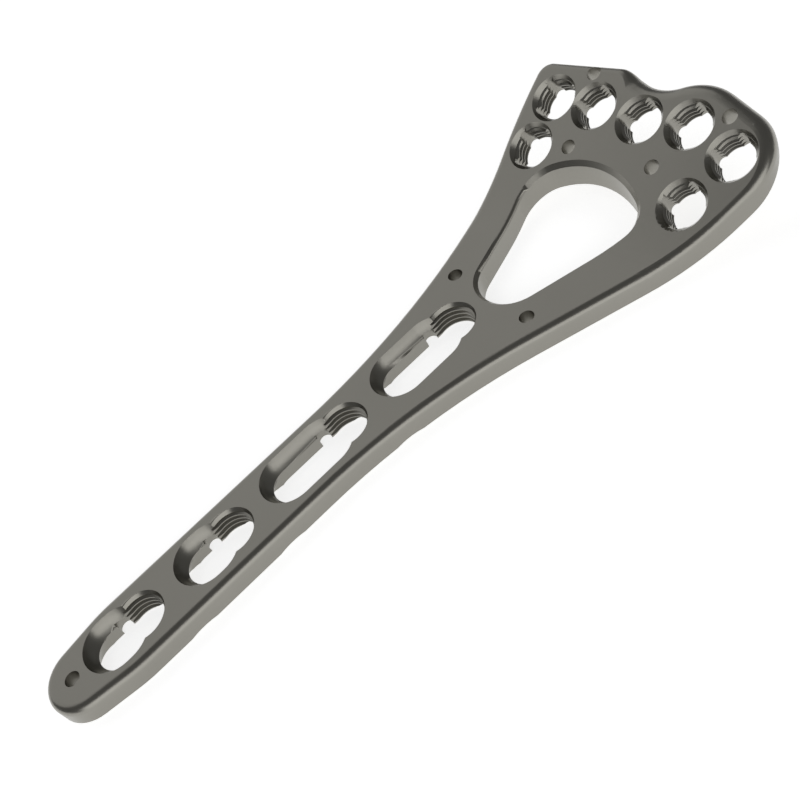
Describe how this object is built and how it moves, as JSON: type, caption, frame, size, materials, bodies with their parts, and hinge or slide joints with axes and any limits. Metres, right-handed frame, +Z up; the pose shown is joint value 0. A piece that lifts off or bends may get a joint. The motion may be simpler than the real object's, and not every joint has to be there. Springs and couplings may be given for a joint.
{
  "type": "orthopedic bone plate",
  "caption": "One-piece volar plate for the wrist: a flat slotted shaft that widens past a window into a raised head with coned locking holes.",
  "frame": {"origin": "lower mouth of the pin hole at the shaft's tip", "axes": "+Y along the shaft from the tip to the head, +Z up out of the flat underside, +X to the wider right flank of the head"},
  "size_m": [0.0232, 0.0645, 0.007],
  "materials": {
    "titanium": "satin grey anodised titanium alloy"
  },
  "bodies": {
    "root": {"bone_plate": "titanium"}
  },
  "joints": []
}
